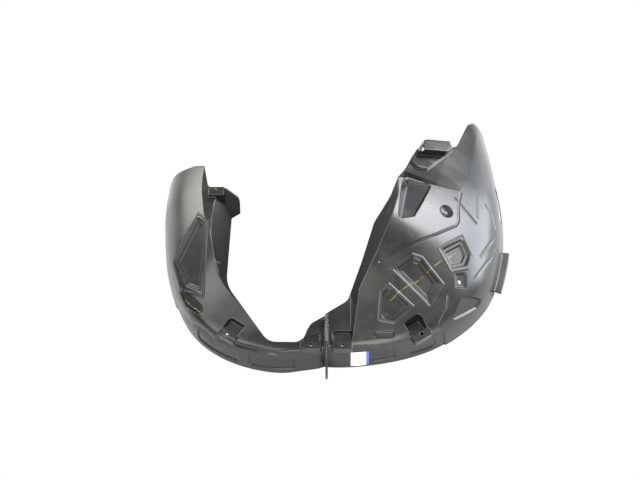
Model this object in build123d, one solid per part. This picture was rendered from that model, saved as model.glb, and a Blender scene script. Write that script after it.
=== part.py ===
from build123d import *
import math
import os

# Wheel arch splash shield: two moulded plastic shells that meet at a seam on the arch's crown.
# The shield lies on its outboard rim, the wheel axis stands upright through the working origin,
# and the crown of the arch points to -Y. Angles are counted from the crown, positive to +X.

# Shell and rim
wall = 2.4
arch_radius = 405.0
tread_height = 78.0
band_setback = 3.2
rim_margin = 2.0

# Working room for the tools: below the rim, above the face, and round the whole shield
column_depth = 260.0
column_top = 300.0
room_width = 1400.0
tool_rise = 40.0
hole_length = 60.0

# Seam at the crown
seam_x = -16.0
seam_gap = 0.15
seam_edge_y = -264.0
flange_reach = 20.0
flange_root = 12.0
fin_reach = 26.0
fin_waist = 13.0
fin_waist_height = 35.0
rivet_radius = 3.0
rivet_clearance = 0.1
rivet_head_radius = 6.5
rivet_head = 2.6
rivet_collar_radius = 4.5
rivet_tip_radius = 1.2
rivet_tail = 9.0
rivet_setback = 20.0
rivet_head_gap = 0.7

# Inner cut-out: lower edge height, slant of the wall above it, height of the flat leg tops
edge_height = 80.0
rear_wall_slant = 30.0
front_wall_slant = 25.0
rear_shelf_height = 142.0
front_shelf_height = 190.0
front_ledge_height = 80.0
front_ledge_width = 52.0
front_ledge_slant = 20.0

# Screw bosses
boss_hole_radius = 3.6
boss_top = 85.0
boss_depth = 13.0
boss_height = 17.0
boss_pad_length = 44.0
boss_pad_width = 22.0
boss_well_length = 36.0
boss_well_width = 27.0
boss_corner = 5.0
boss_draft = 8.0
seam_boss_spacing = 66.0
seam_boss_y = -344.0
outer_boss_spacing = 412.0
outer_boss_y = -318.0
outer_boss_middle_x = -20.0
outer_boss_turn = 33.0

# Pressed pockets
pocket_slant = 38.0
pocket_depth = 4.5
pocket_floor_depth = 3.5
pocket_ledge = 6.0
panel_depth = 3.0
facet_tilt = 14.0
pocket_corner = 9.0
panel_corner = 4.0
band_depth = 2.4
dimple_spot = (254.0, -30.0)
dimple_radius = 17.0
dimple_depth = 7.0

# Fastening holes as point and direction, tabs, and the bracket on the front leg
wall_hole_radius = 4.0
rear_wall_hole = ((-258.0, -150.0, 108.0), (1.0, 0.0, 0.4))
front_wall_hole = ((88.0, -175.0, 118.0), (1.0, 0.0, -0.4))
panel_hole_radius = 4.5
panel_hole_spot = (277.0, -196.0)
rear_tab_length = 36.0
rear_tab_width = 22.0
rear_tab_corner = 3.0
rear_tab_rise = 9.0
rear_tab_spot = (-268.0, 18.0)
bracket_rise = 6.0
bracket_step_rise = 25.0
bracket_draft = 6.0
bracket_hole_radius = 4.5
bracket_hole = ((206.0, 106.0, 186.0), (0.29, -0.96, 0.0))
side_tab_reach = 15.0
side_tab_height = 7.0
side_tab_thickness = 3.0
side_tab_angles = (66.0, 82.0)
rim_slot_angles = (93.0, 107.0)
rim_slot_inset = 5.0
rim_slot_width = 9.0

# Pockets on the face: plan outlines, corner points only
rear_triangle = ((-308, -40), (-362, -128), (-336, -196), (-287, -226), (-288, -66))
rear_panel = ((-350, -182), (-285, -248), (-284, -270), (-322, -240))
front_pocket_high = ((234, -132), (288, -90), (303, -130), (292, -158), (258, -172))
front_pocket_middle = ((131, -190), (172, -158), (190, -162), (231, -208), (205, -254))
front_pocket_low = ((105, -238), (118, -226), (164, -262), (128, -293), (100, -290))
front_pocket_small = ((84, -316), (128, -314), (128, -326), (84, -329))
front_facet = ((224, 34), (178, -64), (146, -74), (168, 26))
front_hole_pocket = ((266, -180), (291, -174), (290, -206), (264, -213))
front_edge_panel = ((278, -226), (332, -206), (316, -228), (256, -274))
bracket_pad = ((170, 82), (188, 68), (216, 70), (262, 124), (286, 158), (262, 176), (190, 136))
bracket_step = ((180, 99), (258, 122), (276, 142), (262, 176), (196, 146))

# Each half is a dome: rim offset from the arch radius, shoulder length and inward rise,
# each given at a few angles round the arch and blended smoothly between them.
# Plan outlines give each corner as x, y and corner radius.
rear = dict(
    rim=((-125, 50), (-90, 0), (-70, -1), (-45, 15), (-21, -11), (-3, -49), (6, -50)),
    shoulder=((-125, 16), (-80, 14), (-50, 7), (-30, 5), (6, 5)),
    slope=((-125, 0.55), (-80, 0.6), (-60, 0.42), (-45, 0.15), (-28, 0.06), (-14, 0.0), (6, -0.12)),
    angles=(-124.0, 6.0),
    depth=195.0,
    shelf=rear_shelf_height,
    slant=rear_wall_slant,
    cutout=(
        (-238, -6, 6), (-238, -190, 90), (-140, -334, 34), (-72, -334, 20), (-50, -288, 24),
        (seam_x, seam_edge_y, 4), (60, seam_edge_y, 4), (60, 60, 4), (-190, 30, 4),
    ),
    keep=(
        (-480, 134, 4), (-413, 123, 10), (-330, 113, 14), (-303, 100, 8), (-289, 36, 12), (-219, 30, 6),
        (-219, -60, 2), (seam_x - seam_gap, -60, 2), (seam_x - seam_gap, -460, 2), (-480, -460, 2),
    ),
    upper=(
        (-500, -170, 2), (-357, -199, 30), (-314, -265, 60), (-257, -315, 60), (-180, -344, 90),
        (-108, -357, 40), (-66, -352, 20), (20, -346, 2), (20, 200, 2), (-500, 200, 2),
    ),
    bosses=(
        (outer_boss_middle_x - outer_boss_spacing / 2, outer_boss_y, -outer_boss_turn),
        (seam_x - seam_boss_spacing / 2, seam_boss_y, 0.0),
    ),
    stepped=(rear_triangle,),
    plain=((rear_panel, panel_depth),),
    bands=(((-46, -31.5), 14, 50), ((-27.5, -13.5), 14, 52)),
)
front = dict(
    rim=(
        (-8, -50), (15, -43), (40, -18), (60, -2), (76, -4), (95, 5), (110, 25), (122, 62), (130, 98),
        (140, 130),
    ),
    shoulder=((-8, 5), (25, 6), (50, 14), (80, 24), (140, 26)),
    slope=((-8, 0.42), (60, 0.40), (90, 0.40), (140, 0.36)),
    angles=(-8.0, 138.0),
    depth=312.0,
    shelf=front_shelf_height,
    slant=front_wall_slant,
    cutout=(
        (seam_x - 30, seam_edge_y, 4), (seam_x, seam_edge_y, 4), (30, -232, 26), (62, -130, 80),
        (96, -8, 10), (96, 60, 4), (seam_x - 30, 60, 4),
    ),
    keep=(
        (seam_x + seam_gap, -460, 2), (480, -460, 2), (480, 200, 2), (420, 266, 14), (398, 284, 14),
        (352, 292, 10), (332, 268, 10), (296, 178, 20), (268, 158, 8), (206, 140, 6), (184, 110, 8),
        (163, 61, 16), (128, 4, 16), (100, -12, 4), (60, -60, 2), (seam_x + seam_gap, -60, 2),
    ),
    upper=(
        (-50, -346, 2), (54, -341, 20), (110, -338, 60), (170, -322, 60), (238, -288, 14),
        (270, -330, 2), (500, -330, 2), (500, 400, 2), (-50, 400, 2),
    ),
    bosses=(
        (outer_boss_middle_x + outer_boss_spacing / 2, outer_boss_y, outer_boss_turn),
        (seam_x + seam_boss_spacing / 2, seam_boss_y, 0.0),
    ),
    stepped=(front_pocket_high, front_pocket_middle, front_pocket_low),
    plain=(
        (front_pocket_small, panel_depth), (front_hole_pocket, pocket_depth),
        (front_edge_panel, panel_depth),
    ),
    bands=(((13.5, 21.5), 14, 50), ((27, 36), 12, 44)),
)
front_ledge = (
    (seam_x - front_ledge_width, -420, 2), (seam_x + front_ledge_width, -420, 2),
    (seam_x + front_ledge_width, -180, 2), (seam_x - front_ledge_width, -180, 2),
)
angle_steps = 26
inset_steps = 20


def law(stations, angle):
    # Smooth curve through a few stations
    if angle <= stations[0][0]:
        return stations[0][1]
    if angle >= stations[-1][0]:
        return stations[-1][1]
    last = len(stations) - 1
    lean = []
    for index in range(last + 1):
        before = stations[max(index - 1, 0)]
        after = stations[min(index + 1, last)]
        lean.append((after[1] - before[1]) / (after[0] - before[0]))
    for index in range(last):
        start, start_value = stations[index]
        end, end_value = stations[index + 1]
        if angle <= end:
            span = end - start
            share = (angle - start) / span
            rest = 1 - share
            steady = start_value * (1 + 2 * share) * rest**2 + end_value * share**2 * (3 - 2 * share)
            return steady + span * (lean[index] * share * rest**2 - lean[index + 1] * share**2 * rest)


def rim_radius(half, angle):
    return arch_radius + law(half["rim"], angle)


def face_point(half, angle, inset):
    # Tread that rises steeply from the rim and rolls over into the inward face
    radius = rim_radius(half, angle) - inset
    tread = tread_height * (1 - math.exp(-inset / law(half["shoulder"], angle)))
    turn = math.radians(angle)
    height = tread + law(half["slope"], angle) * inset
    return Vector(radius * math.sin(turn), -radius * math.cos(turn), height)


def face_normal(half, angle, inset):
    along = face_point(half, angle + 0.2, inset) - face_point(half, angle - 0.2, inset)
    across = face_point(half, angle, inset - 0.05) - face_point(half, angle, inset + 0.05)
    normal = along.cross(across).normalized()
    return normal if normal.Z > 0 else normal * -1


def dome(half, offset):
    # Everything under the face, moved out from it by the offset
    first, last = half["angles"]
    rows = []
    for step in range(angle_steps + 1):
        angle = first + (last - first) * step / angle_steps
        row = []
        for ring in range(inset_steps + 1):
            inset = (half["depth"] + rim_margin) * (ring / inset_steps) ** 2 - rim_margin
            row.append(face_point(half, angle, inset) + face_normal(half, angle, inset) * offset)
        rows.append(row)
    skin = Face.make_surface_from_array_of_points(rows, tol=0.05)
    return extrude(skin, column_depth, dir=(0, 0, -1))


def spot(half, x, y):
    # Point on the face and its normal above a plan position
    angle = math.degrees(math.atan2(x, -y))
    inset = rim_radius(half, angle) - math.hypot(x, y)
    return face_point(half, angle, inset), face_normal(half, angle, inset)


def outline(corners, growth=0.0):
    points = [(x, y) for x, y, radius in corners]
    radii = [radius for x, y, radius in corners]
    shape = Sketch() + make_face(FilletPolyline(*points, radius=radii, close=True))
    return offset(shape, growth) if growth else shape


def prism(corners, low, high, growth=0.0):
    return extrude(Pos(0, 0, low) * outline(corners, growth), high - low)


def above(height):
    room = Box(room_width, room_width, column_top, align=(Align.CENTER, Align.CENTER, Align.MIN))
    return Pos(0, 0, height) * room


def slanted_cut(corners, base, slant, growth=0.0):
    # Room above a plan outline, opening upwards by the slant
    return extrude(Pos(0, 0, base) * outline(corners, growth), column_top - column_depth / 2, taper=-slant)


def on_face(half, corners, corner):
    # Plane that fits the face under a plan outline, and the outline laid flat in that plane
    spots = [spot(half, x, y) for x, y in corners]
    centre = Vector(0, 0, 0)
    normal = Vector(0, 0, 0)
    for point, lean in spots:
        centre += point * (1 / len(spots))
        normal += lean * (1 / len(spots))
    plane = Plane(origin=centre, z_dir=normal)
    flat = [plane.to_local_coords(point) for point, lean in spots]
    shape = make_face(Polyline(*[(point.X, point.Y) for point in flat], close=True))
    return plane, Sketch() + fillet(shape.vertices(), corner)


def pocket(half, corners, corner, inset, start, depth, growth):
    # Tool for a pressed pocket with slanted sides and a flat floor
    plane, shape = on_face(half, corners, corner)
    run = depth * math.tan(math.radians(pocket_slant))
    floor = offset(shape, growth - inset - run)
    deep = start + depth + growth
    return extrude(plane * (Pos(0, 0, -deep) * floor), tool_rise, taper=-pocket_slant)


def stepped_pocket(half, corners, growth):
    inner = pocket_ledge + pocket_depth * math.tan(math.radians(pocket_slant))
    rim = pocket(half, corners, pocket_corner, 0.0, 0.0, pocket_depth, growth)
    floor = pocket(half, corners, pocket_corner, inner, pocket_depth, pocket_floor_depth, growth)
    return [rim, floor]


def plain_pocket(half, corners, depth, growth):
    return [pocket(half, corners, panel_corner, 0.0, 0.0, depth, growth)]


def tilted_pocket(half, corners, growth):
    # Pocket that deepens away from the edge between its first two corners
    hinge, far = [spot(half, x, y)[0] for x, y in corners[:2]]
    tool = pocket(half, corners, panel_corner, 0.0, 0.0, panel_depth, growth)
    return [tool.rotate(Axis(hinge, far - hinge), facet_tilt)]


def raised_pad(half, corners, rise, growth):
    # Drafted pad that stands up from the face
    plane, shape = on_face(half, corners, panel_corner)
    if growth:
        shape = offset(shape, -growth)
    return extrude(plane * (Pos(0, 0, -tool_rise) * shape), tool_rise + rise - growth, taper=bracket_draft)


def band_panel(half, angles, low, high, growth, floor):
    # Shallow field pressed into the tread between two angles and two heights, down to the floor's dome
    start, end = angles
    middle = (start + end) / 2
    length = math.radians(end - start) * rim_radius(half, middle)
    point = face_point(half, middle, rim_margin)
    turn = math.radians(middle)
    plane = Plane(
        origin=(point.X, point.Y, (low + high) / 2),
        x_dir=(math.cos(turn), math.sin(turn), 0),
        z_dir=(math.sin(turn), -math.cos(turn), 0),
    )
    shape = RectangleRounded(length + 2 * growth, high - low + 2 * growth, boss_corner + growth)
    return [extrude(plane * shape, tool_rise, both=True) - floor]


def boss_pad(x, y, turn, growth):
    # Flat screw pad that stands out over the tread's shoulder
    pad = RectangleRounded(boss_pad_length - 2 * growth, boss_pad_width - 2 * growth, boss_corner - growth)
    foot = boss_top - boss_height + growth
    return extrude(Pos(x, y, foot) * Rot(0, 0, turn) * pad, boss_height - 2 * growth)


def boss_well(x, y, turn, growth):
    # Well sunk into the face behind a screw pad
    well = RectangleRounded(
        boss_well_length + 2 * growth, boss_well_width + 2 * growth, boss_corner + growth
    )
    shift = (boss_pad_width + boss_well_width) / 2 - wall
    floor = Pos(0, shift, boss_top - boss_depth - growth) * well
    return extrude(Pos(x, y, 0) * Rot(0, 0, turn) * floor, tool_rise, taper=-boss_draft)


def rear_tab(growth):
    tab = RectangleRounded(rear_tab_length - 2 * growth, rear_tab_width - 2 * growth, rear_tab_corner)
    return extrude(Pos(*rear_tab_spot, 0) * tab, rear_shelf_height + rear_tab_rise - growth)


def dimple(growth):
    # Round dish: a ball that dips into the face
    ball = (dimple_radius**2 + dimple_depth**2) / (2 * dimple_depth)
    point, normal = spot(front, *dimple_spot)
    return Pos(*(point + normal * (ball - dimple_depth))) * Sphere(ball + growth)


def ring_sector(half, angles, inner, outer, low, high):
    # Piece of a ring that follows the rim between two angles, its edges set in from the rim
    start, end = angles
    middle = (start + end) / 2
    ends = []
    for inset in (inner, outer):
        arc = [face_point(half, angle, inset) for angle in (start, middle, end)]
        ends.append([(point.X, point.Y) for point in arc])
    near, far = ends
    edges = [
        ThreePointArc(*near), Line(near[2], far[2]), ThreePointArc(*far), Line(far[0], near[0]),
    ]
    return extrude(Pos(0, 0, low) * make_face(edges), high - low)


def hole(point, direction, radius):
    return Plane(origin=point, z_dir=direction) * Cylinder(radius, hole_length)


def largest(shape):
    return max(shape.solids(), key=lambda solid: solid.volume)


def mating_flange(side):
    # Upright flange along the seam, in the seam's plane, with a fin that stands out at the rim
    rim_y = -rim_radius(rear, math.degrees(math.atan2(seam_x, arch_radius)))
    top = tread_height + flange_reach
    under = tread_height - flange_root
    profile = Polyline(
        (rim_y + wall / 2, 0), (rim_y - fin_reach, 0), (rim_y - fin_waist, fin_waist_height),
        (rim_y + flange_root, top), (seam_edge_y - flange_root, top), (seam_edge_y, tread_height),
        (seam_edge_y, under), (rim_y + 2 * flange_root, under), (rim_y + flange_root, fin_waist_height),
        close=True,
    )
    plane = Plane(origin=(seam_x + side * seam_gap, 0, 0), x_dir=(0, 1, 0), z_dir=(1, 0, 0))
    return extrude(plane * make_face(profile), side * wall)


def rivet_place():
    height = front_ledge_height + rivet_head_radius + rivet_head_gap
    return Vector(seam_x, seam_edge_y - rivet_setback, height)


def build_half(half, side, raised, pressed, joined, through):
    # Outer body less the inner body one wall inside it, trimmed to the plan outline, then pierced
    skins = []
    for growth in (0.0, wall):
        face = dome(half, -growth) & prism(half["upper"], -column_depth, column_top, -growth)
        body = dome(half, -band_setback - growth) + face
        body -= above(half["shelf"] - growth)
        sideways = growth / math.cos(math.radians(half["slant"]))
        body -= slanted_cut(half["cutout"], edge_height - growth, half["slant"], sideways)
        body -= [tool for make in pressed[:1] for tool in make(growth)]
        body += [make(growth) for make in raised]
        body += [boss_pad(*place, growth) for place in half["bosses"]]
        tools = [boss_well(*place, growth) for place in half["bosses"]]
        for corners in half["stepped"]:
            tools += stepped_pocket(half, corners, growth)
        for corners, depth in half["plain"]:
            tools += plain_pocket(half, corners, depth, growth)
        floor = dome(half, -band_setback - band_depth - growth)
        for angles, low, high in half["bands"]:
            tools += band_panel(half, angles, low, high, growth, floor)
        tools += [tool for make in pressed[1:] for tool in make(growth)]
        body -= tools
        skins.append(body)
    outer, inner = skins
    outer -= prism(half["cutout"], -column_depth, edge_height)
    shell = outer + [mating_flange(side)] + joined - inner
    shell &= prism(half["keep"], 0, column_top)
    holes = [hole((x, y, boss_top), (0, 0, 1), boss_hole_radius) for x, y, turn in half["bosses"]]
    holes.append(hole(rivet_place(), (1, 0, 0), rivet_radius + rivet_clearance))
    return largest(shell - holes - through)


def build_rear():
    return build_half(
        rear, -1, raised=[rear_tab], pressed=[], joined=[],
        through=[hole(*rear_wall_hole, wall_hole_radius)],
    )


def build_front():
    def ledge(growth):
        return [slanted_cut(front_ledge, front_ledge_height - growth, front_ledge_slant, growth)]

    raised = [
        lambda growth: raised_pad(front, bracket_pad, bracket_rise, growth),
        lambda growth: raised_pad(front, bracket_step, bracket_step_rise, growth),
    ]
    side_tab = ring_sector(
        front, side_tab_angles, rim_slot_inset, -side_tab_reach,
        side_tab_height, side_tab_height + side_tab_thickness,
    )
    rim_slot = ring_sector(
        front, rim_slot_angles, rim_slot_inset + rim_slot_width, rim_slot_inset, -column_depth, column_top,
    )
    through = [
        hole(*front_wall_hole, wall_hole_radius), hole(*bracket_hole, bracket_hole_radius),
        hole(*spot(front, *panel_hole_spot), panel_hole_radius), rim_slot,
    ]
    def facet(growth):
        return [dimple(growth)] + tilted_pocket(front, front_facet, growth)

    return build_half(front, 1, raised, pressed=[ledge, facet], joined=[side_tab], through=through)


def build_rivet():
    # Push rivet: a flat head, a pin through both flanges and a tapered tail
    bottom = (Align.CENTER, Align.CENTER, Align.MIN)
    grip = wall + seam_gap
    along = Plane(origin=rivet_place(), z_dir=(1, 0, 0))
    pin = Cylinder(rivet_radius, 2 * grip)
    head = Pos(0, 0, grip) * Cylinder(rivet_head_radius, rivet_head, align=bottom)
    cone = Cone(rivet_collar_radius, rivet_tip_radius, rivet_tail, align=bottom)
    tail = Pos(0, 0, -grip) * Rot(180, 0, 0) * cone
    return largest(along * (pin + head + tail))


def main():
    nodes = {"rear_half": build_rear(), "front_half": build_front(), "seam_rivet": build_rivet()}
    boxes = [solid.bounding_box() for solid in nodes.values()]
    middle_x = (min(box.min.X for box in boxes) + max(box.max.X for box in boxes)) / 2
    middle_y = (min(box.min.Y for box in boxes) + max(box.max.Y for box in boxes)) / 2
    shift = Pos(-middle_x, -middle_y, -min(box.min.Z for box in boxes))
    os.makedirs("parts", exist_ok=True)
    for name, solid in nodes.items():
        export_step(shift * solid, f"parts/{name}.step")
    print("origin moved by", shift.position)


main()
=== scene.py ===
import math

import bpy
import numpy as np
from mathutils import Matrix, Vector


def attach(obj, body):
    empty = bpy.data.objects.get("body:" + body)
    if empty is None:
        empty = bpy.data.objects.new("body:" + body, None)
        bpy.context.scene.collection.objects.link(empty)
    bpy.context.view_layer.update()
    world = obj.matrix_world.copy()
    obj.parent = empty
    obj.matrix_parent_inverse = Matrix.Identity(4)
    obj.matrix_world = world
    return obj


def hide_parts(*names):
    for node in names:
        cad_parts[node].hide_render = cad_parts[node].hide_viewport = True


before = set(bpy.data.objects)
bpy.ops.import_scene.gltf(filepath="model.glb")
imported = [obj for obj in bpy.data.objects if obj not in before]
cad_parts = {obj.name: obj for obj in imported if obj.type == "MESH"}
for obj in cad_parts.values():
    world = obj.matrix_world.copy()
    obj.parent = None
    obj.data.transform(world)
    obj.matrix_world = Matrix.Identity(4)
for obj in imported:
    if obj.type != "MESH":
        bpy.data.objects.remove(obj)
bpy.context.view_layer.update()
rowShift = (-0.00160471, 0.0449658)  # the arch's own axis in the row frame, metres
print("frame loaded")


class Shade:
    # one shader socket: plain arithmetic makes Math nodes, node() makes any other node
    def __init__(self, tree, socket=None):
        self.tree = tree
        self.socket = socket

    def put(self, target, term):
        if isinstance(term, Shade):
            self.tree.links.new(term.socket, target)
        else:
            target.default_value = term

    def node(self, kind, settings=None, inputs=None, output=0):
        made = self.tree.nodes.new(kind)
        for name, value in (settings or {}).items():
            setattr(made, name, value)
        for name, term in (inputs or {}).items():
            self.put(made.inputs[name], term)
        return Shade(self.tree, made.outputs[output])

    def beside(self, output):
        # another output of the same node
        return Shade(self.tree, self.socket.node.outputs[output])

    def sums(self, operation, *terms):
        made = self.tree.nodes.new("ShaderNodeMath")
        made.operation = operation
        for place, term in zip(made.inputs, terms):
            self.put(place, term)
        return Shade(self.tree, made.outputs[0])

    def __add__(self, other):
        return self.sums("ADD", self, other)

    def __radd__(self, other):
        return self.sums("ADD", other, self)

    def __sub__(self, other):
        return self.sums("SUBTRACT", self, other)

    def __rsub__(self, other):
        return self.sums("SUBTRACT", other, self)

    def __mul__(self, other):
        return self.sums("MULTIPLY", self, other)

    def __rmul__(self, other):
        return self.sums("MULTIPLY", other, self)

    def __truediv__(self, other):
        return self.sums("DIVIDE", self, other)

    def __rtruediv__(self, other):
        return self.sums("DIVIDE", other, self)

    def least(self, other):
        return self.sums("MINIMUM", self, other)

    def most(self, other):
        return self.sums("MAXIMUM", self, other)

    def root(self):
        return self.sums("SQRT", self)

    def between(self, low, high):
        # 0 at low, 1 at high, eased
        inputs = {"Value": self, "From Min": low, "From Max": high}
        return self.node("ShaderNodeMapRange", {"interpolation_type": "SMOOTHSTEP"}, inputs)

    def tint(self, first, second):
        # self picks between two colours
        inputs = {0: self, 6: first, 7: second}
        return self.node("ShaderNodeMix", {"data_type": "RGBA"}, inputs, 2)


def planPlace(shade, scale):
    # plan place from the arch's axis, in metres times scale, and the object's own coordinates
    place = shade.node("ShaderNodeTexCoord", output=3)
    across = shade.node("ShaderNodeSeparateXYZ", inputs={"Vector": place})
    return (across - rowShift[0]) * scale, (across.beside(1) - rowShift[1]) * scale, place


def nearLine(x, y, points):
    # distance from (x, y) to an open line of points, all in millimetres
    nearest = None
    for (ax, ay), (bx, by) in zip(points[:-1], points[1:]):
        dx, dy = bx - ax, by - ay
        share = ((x - ax) * dx + (y - ay) * dy) / (dx * dx + dy * dy)
        share = share.most(0.0).least(1.0)
        offX = x - ax - share * dx
        offY = y - ay - share * dy
        gap = (offX * offX + offY * offY).root()
        nearest = gap if nearest is None else nearest.least(gap)
    return nearest


def strokes(x, y, lines, low, high):
    # 1 within low of any line, easing to 0 at high
    strongest = None
    for line in lines:
        stroke = 1.0 - nearLine(x, y, line).between(low, high)
        strongest = stroke if strongest is None else strongest.most(stroke)
    return strongest


def intoField(x, y, points):
    # distance into a field at the right hand of a line of borders, below 0 outside it
    nearest = None
    for (ax, ay), (bx, by) in zip(points[:-1], points[1:]):
        size = math.hypot(bx - ax, by - ay)
        within = (x - ax) * ((by - ay) / size) - (y - ay) * ((bx - ax) / size)
        nearest = within if nearest is None else nearest.least(within)
    return nearest


def newMaterial(name):
    material = bpy.data.materials.new(name)
    material.use_nodes = True
    tree = material.node_tree
    tree.nodes.clear()
    out = tree.nodes.new("ShaderNodeOutputMaterial")
    return material, Shade(tree), out.inputs["Surface"]


# Moulded shells: copies of the CAD meshes, welded and shaded round, with a procedural satin plastic
shellLook = dict(
    dark=(0.007, 0.0072, 0.007, 1.0),
    # this lighter colour and its amount serve both the dust on up-facing faces and a painted highlight along the ridge
    # lines
    dustAndHighlightColour=(0.075, 0.072, 0.062, 1.0),
    mark=(0.30, 0.27, 0.06, 1.0),
    roughness=0.27,
    dustRoughness=0.12,
    dustAndHighlightAmount=0.62,
    dustFacing=(0.45, 0.97),  # how far up a face looks before dust lies on it
    broadNoise={"Scale": 7.0, "Detail": 5.0, "Roughness": 0.62},
    broadRange=(0.38, 0.72),
    broadShare=0.7,
    speckNoise={"Scale": 95.0, "Detail": 3.0, "Roughness": 0.7},
    speckRange=(0.5, 0.8),
    speckShare=0.2,
    grainNoise={"Scale": 620.0, "Detail": 2.0},
    grainHeight=0.00001,
    sharpAngle=24.0,
    edgeRadius=0.004,
    edgeSamples=8,
    # widths and plan places in millimetres from the arch's axis, depths and heights in metres
    grooveDepth=0.0016,
    grooveWidth=4.2,
    grooves=(
        ((99, -176), (130, -152), (172, -131), (222, -100), (274, -63), (282, -48), (284, -5), (294, 33)),
        ((311, -181), (352, -118), (377, -73)),
        ((329, -123), (375, -46)),
        ((334, 43), (330, -21)),
        ((354, 25), (368, 4), (374, -27)),
        ((278, 14), (324, -40)),
        ((247, -232), (244, -260), (228, -285)),
        ((-357, -199), (-314, -265), (-257, -315), (-197, -339), (-148, -352), (-110, -359), (-67, -354)),
    ),
    ridgeHeight=0.0011,
    ridgeWidth=3.4,
    # painted highlight: the ridge lines round the pockets are lightened with the dust colour to stand for light on
    # their lips
    ridgeHighlight=0.25,
    ridges=(
        ((229, -130), (289, -84), (308, -130), (296, -162), (257, -178), (229, -130)),
        ((125, -190), (171, -153), (192, -157), (237, -208), (206, -260), (125, -190)),
        ((100, -238), (118, -220), (170, -262), (129, -298), (95, -293), (100, -238)),
        ((-306, -34), (-367, -128), (-340, -200), (-284, -231), (-283, -62), (-306, -34)),
        ((-291, -46), (-279, -80), (-263, -143), (-251, -176)),
    ),
    markWidth=1.1,
    markAmount=0.7,
    markRange=(0.44, 0.56),
    marks=(
        ((117, -51), (126, -32)),
        ((200, 76), (207, 70)),
        ((-273, 26), (-267, 20)),
        ((120, -250), (186, -201), (269, -128)),
        ((-327, -224), (-283, -268)),
    ),
    # the front leg's flat wing and neck: a bump that slopes in from their borders
    wingBorder=((348, 217), (331, 138), (317, 91), (297, 47), (279, 28)),
    wingStep=((290, 37), (150, 33)),
    neckBorder=((266, 130), (229, 28)),
    wingSlope=-0.14,
    neckSlope=-0.05,
    stepSlope=5.0,
    wingEast=(100.0, 110.0),  # none of it west of here
)


def wingTilt(x, y, look):
    # height in metres of the bump that tilts the wing and the neck
    step = intoField(x, y, look["wingStep"]) * look["stepSlope"]
    wing = intoField(x, y, look["wingBorder"]).least(step).most(0.0) * look["wingSlope"]
    neck = intoField(x, y, look["neckBorder"]).least(step).most(0.0) * look["neckSlope"]
    return (wing + neck) * x.between(*look["wingEast"]) / 1000.0


def shellPlastic(look):
    material, shade, surface = newMaterial("shellPlastic")
    x, y, place = planPlace(shade, 1000.0)
    groove = strokes(x, y, look["grooves"], 0.0, look["grooveWidth"])
    ridge = strokes(x, y, look["ridges"], 0.0, look["ridgeWidth"])
    mark = strokes(x, y, look["marks"], look["markWidth"] / 2, look["markWidth"])
    broad = shade.node("ShaderNodeTexNoise", inputs={"Vector": place, **look["broadNoise"]})
    speck = shade.node("ShaderNodeTexNoise", inputs={"Vector": place, **look["speckNoise"]})
    grain = shade.node("ShaderNodeTexNoise", inputs={"Vector": place, **look["grainNoise"]})
    facing = shade.node("ShaderNodeNewGeometry", output=1)
    upward = shade.node("ShaderNodeSeparateXYZ", inputs={"Vector": facing}, output=2)
    dustAndRidgeHighlight = broad.between(*look["broadRange"]) * look["broadShare"]
    dustAndRidgeHighlight = (dustAndRidgeHighlight + speck.between(*look["speckRange"]) * look["speckShare"]) * upward.between(*look["dustFacing"])
    # the ridge term adds a painted highlight along the ridges to the real dust
    dustAndRidgeHighlight = (dustAndRidgeHighlight + ridge * look["ridgeHighlight"]) * look["dustAndHighlightAmount"]
    scuff = mark * speck.between(*look["markRange"]) * look["markAmount"]
    colour = scuff.tint(dustAndRidgeHighlight.tint(look["dark"], look["dustAndHighlightColour"]), look["mark"])
    rough = look["roughness"] + dustAndRidgeHighlight * look["dustRoughness"]
    height = grain * look["grainHeight"] - groove * look["grooveDepth"] + ridge * look["ridgeHeight"]
    height = height + wingTilt(x, y, look)
    edge = shade.node("ShaderNodeBevel", {"samples": look["edgeSamples"]}, {"Radius": look["edgeRadius"]})
    bump = shade.node("ShaderNodeBump", inputs={
        "Strength": 1.0, "Distance": 1.0, "Height": height, "Normal": edge,
    })
    body = shade.node("ShaderNodeBsdfPrincipled", inputs={
        "Base Color": colour, "Roughness": rough, "Normal": bump, "IOR": 1.5,
    })
    shade.put(surface, body)
    return material


def roundCopy(node, material, sharpAngle):
    # welded triangles of the CAD mesh: corners that share a place become one
    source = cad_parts[node].data
    places = np.empty(len(source.vertices) * 3, np.float32)
    source.vertices.foreach_get("co", places)
    source.calc_loop_triangles()
    corners = np.empty(len(source.loop_triangles) * 3, np.int32)
    source.loop_triangles.foreach_get("vertices", corners)
    places, joined = np.unique(np.round(places.reshape(-1, 3), 5), axis=0, return_inverse=True)
    faces = joined.reshape(-1)[corners].reshape(-1, 3)
    whole = (faces[:, 0] != faces[:, 1]) & (faces[:, 1] != faces[:, 2]) & (faces[:, 2] != faces[:, 0])
    mesh = bpy.data.meshes.new(node + "Round")
    mesh.from_pydata(places.tolist(), [], faces[whole].tolist())
    mesh.validate()
    mesh.polygons.foreach_set("use_smooth", np.ones(len(mesh.polygons), bool))
    mesh.set_sharp_from_angle(angle=math.radians(sharpAngle))
    mesh.materials.append(material)
    piece = bpy.data.objects.new(node + "Round", mesh)
    bpy.context.scene.collection.objects.link(piece)
    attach(piece, "root")
    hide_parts(node)
    return piece


plastic = shellPlastic(shellLook)
for node in ("rear_half", "front_half"):
    roundCopy(node, plastic, shellLook["sharpAngle"])
print("shells made")


# Seam rivet: the CAD rivet's own shape in plain black
rivetLook = dict(colour=(0.022, 0.022, 0.023, 1.0), roughness=0.42, sharpAngle=40.0)


def plainMaterial(name, colour, roughness):
    material, shade, surface = newMaterial(name)
    body = shade.node("ShaderNodeBsdfPrincipled", inputs={"Base Color": colour, "Roughness": roughness})
    shade.put(surface, body)
    return material


rivetPlastic = plainMaterial("rivetPlastic", rivetLook["colour"], rivetLook["roughness"])
roundCopy("seam_rivet", rivetPlastic, rivetLook["sharpAngle"])
print("rivet made")


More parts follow.
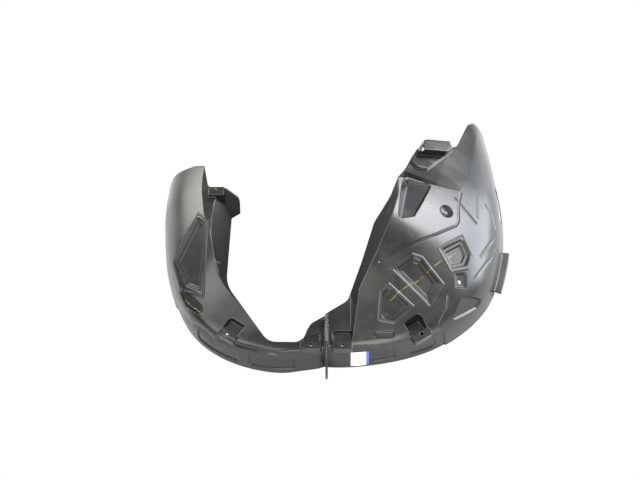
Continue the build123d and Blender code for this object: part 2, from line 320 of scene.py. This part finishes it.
# Blank sticker on the tread beside the seam: angle round the arch by inset from the rim, in
# degrees and millimetres
stickerLook = dict(
    angles=(5.9, 12.2),
    insets=(0.5, 6.2),
    lift=-2.5,
    rimRadius=(358.0, 360.5),
    treadHeight=78.0,
    shoulder=5.4,
    slope=0.42,
    paper=(0.78, 0.79, 0.80, 1.0),
    edge=(0.05, 0.10, 0.42, 1.0),
    edgeRange=(0.83, 0.85),
    roughness=0.5,
    steps=(40, 24),
)


def stickerMesh(look):
    # tread height = treadHeight (1 - e^(-inset/shoulder)) + slope inset, lifted along the tread's normal
    u, v = np.meshgrid(np.linspace(0, 1, look["steps"][0]), np.linspace(0, 1, look["steps"][1]), indexing="ij")
    turn = np.radians(look["angles"][0] + u * (look["angles"][1] - look["angles"][0]))
    inset = look["insets"][0] + v * (look["insets"][1] - look["insets"][0])
    rim = look["rimRadius"][0] + u * (look["rimRadius"][1] - look["rimRadius"][0])
    rise = look["treadHeight"] / look["shoulder"] * np.exp(-inset / look["shoulder"]) + look["slope"]
    lean = 1.0 / np.sqrt(1.0 + rise**2)
    radius = rim - inset + look["lift"] * rise * lean
    height = look["treadHeight"] * (1 - np.exp(-inset / look["shoulder"])) + look["slope"] * inset
    height = height + look["lift"] * lean
    points = np.stack([radius * np.sin(turn), -radius * np.cos(turn), height], -1) / 1000.0
    points = points + np.array([rowShift[0], rowShift[1], 0.0])
    rows, columns = u.shape
    index = np.arange(rows * columns).reshape(rows, columns)
    quads = np.stack([index[:-1, :-1], index[1:, :-1], index[1:, 1:], index[:-1, 1:]], -1).reshape(-1, 4)
    mesh = bpy.data.meshes.new("sticker")
    mesh.from_pydata(points.reshape(-1, 3).tolist(), [], quads.tolist())
    layer = mesh.uv_layers.new(name="flat")
    flat = np.stack([u, v], -1).reshape(-1, 2)[quads.reshape(-1)]
    layer.data.foreach_set("uv", flat.reshape(-1))
    mesh.polygons.foreach_set("use_smooth", np.ones(len(mesh.polygons), bool))
    return mesh


def stickerPaper(look):
    material, shade, surface = newMaterial("stickerPaper")
    flat = shade.node("ShaderNodeUVMap", {"uv_map": "flat"})
    across = shade.node("ShaderNodeSeparateXYZ", inputs={"Vector": flat})
    colour = across.between(*look["edgeRange"]).tint(look["paper"], look["edge"])
    body = shade.node("ShaderNodeBsdfPrincipled", inputs={"Base Color": colour, "Roughness": look["roughness"]})
    shade.put(surface, body)
    return material


sticker = bpy.data.objects.new("sticker", stickerMesh(stickerLook))
sticker.data.materials.append(stickerPaper(stickerLook))
bpy.context.scene.collection.objects.link(sticker)
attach(sticker, "root")
print("sticker made")


# Floor, light and camera
studio = dict(
    floorSize=14.0,
    floorColour=(0.80, 0.80, 0.79, 1.0),
    paintedShadeColour=(0.07, 0.07, 0.066, 1.0),
    paintedShadeReach=(0.29, 0.37),  # the floor inside the arch is painted dark as its shade
    backdrop=(1.0, 1.0, 1.0, 1.0),
    skyColour=(0.93, 0.96, 1.0, 1.0),
    skyStrength=0.62,
    lights=(
        # name, place, size, watts, colour
        ("top", (-1.0, -0.6, 2.5), 1.6, 40.0, (1.0, 0.985, 0.96)),
        ("rightBack", (1.55, 1.15, 1.75), 0.9, 52.0, (0.97, 0.985, 1.0)),
        ("right", (2.7, 0.9, 0.9), 1.8, 110.0, (0.86, 0.93, 1.0)),
        ("left", (-2.1, 1.6, 1.2), 1.2, 50.0, (1.0, 0.97, 0.91)),
        ("front", (0.4, -2.6, 0.8), 2.2, 100.0, (1.0, 0.97, 0.92)),
    ),
    lightAim=(0.0, 0.0, 0.05),
    elevation=54.0,
    distance=2.2,
    focal=916.667,
    middle=(334.0, 236.0),
    picture=(640.0, 480.0),
)


def makeFloor(values):
    half = values["floorSize"] / 2
    corners = np.array([(-half, -half, 0), (half, -half, 0), (half, half, 0), (-half, half, 0)])
    mesh = bpy.data.meshes.new("floor")
    mesh.from_pydata(corners.tolist(), [], [(0, 1, 2, 3)])
    material, shade, surface = newMaterial("floorPaper")
    seen = shade.node("ShaderNodeLightPath")
    x, y, _ = planPlace(shade, 1.0)
    # painted shade: the floor's colour turns dark inside the arch, standing for the shade the arch casts
    outside = (x * x + y * y).root().between(*values["paintedShadeReach"])
    colour = outside.tint(values["paintedShadeColour"], values["floorColour"])
    matte = shade.node("ShaderNodeBsdfPrincipled", inputs={"Base Color": colour, "Roughness": 1.0})
    white = shade.node("ShaderNodeEmission", inputs={"Color": values["backdrop"], "Strength": 1.0})
    shade.put(surface, shade.node("ShaderNodeMixShader", inputs={0: seen, 1: matte, 2: white}))
    mesh.materials.append(material)
    floor = bpy.data.objects.new("floor", mesh)
    bpy.context.scene.collection.objects.link(floor)


def makeSky(values):
    world = bpy.data.worlds.new("studio")
    bpy.context.scene.world = world
    world.use_nodes = True
    tree = world.node_tree
    tree.nodes.clear()
    out = tree.nodes.new("ShaderNodeOutputWorld")
    shade = Shade(tree)
    seen = shade.node("ShaderNodeLightPath")
    glow = shade.node("ShaderNodeBackground", inputs={"Color": values["skyColour"], "Strength": values["skyStrength"]})
    white = shade.node("ShaderNodeBackground", inputs={"Color": values["backdrop"], "Strength": 1.0})
    shade.put(out.inputs["Surface"], shade.node("ShaderNodeMixShader", inputs={0: seen, 1: glow, 2: white}))


def makeLights(values):
    aim = Vector(values["lightAim"])
    for name, place, size, watts, colour in values["lights"]:
        lamp = bpy.data.lights.new(name, "AREA")
        lamp.size = size
        lamp.energy = watts
        lamp.color = colour
        holder = bpy.data.objects.new(name, lamp)
        holder.location = place
        holder.rotation_euler = (aim - Vector(place)).to_track_quat("-Z", "Y").to_euler()
        bpy.context.scene.collection.objects.link(holder)


def makeCamera(values):
    tilt = math.radians(values["elevation"])
    width, height = values["picture"]
    lens = bpy.data.cameras.new("camera")
    lens.sensor_width = 36.0
    lens.lens = values["focal"] / width * lens.sensor_width
    lens.shift_x = (width / 2 - values["middle"][0]) / width
    lens.shift_y = (values["middle"][1] - height / 2) / width
    camera = bpy.data.objects.new("camera", lens)
    back = values["distance"] * np.array([0.0, -math.cos(tilt), math.sin(tilt)])
    camera.location = (rowShift[0] + back[0], rowShift[1] + back[1], back[2])
    camera.rotation_euler = (math.pi / 2 - tilt, 0.0, 0.0)
    bpy.context.scene.collection.objects.link(camera)
    bpy.context.scene.camera = camera


makeFloor(studio)
makeSky(studio)
makeLights(studio)
makeCamera(studio)
bpy.context.scene.view_settings.view_transform = "Standard"
print("studio made")
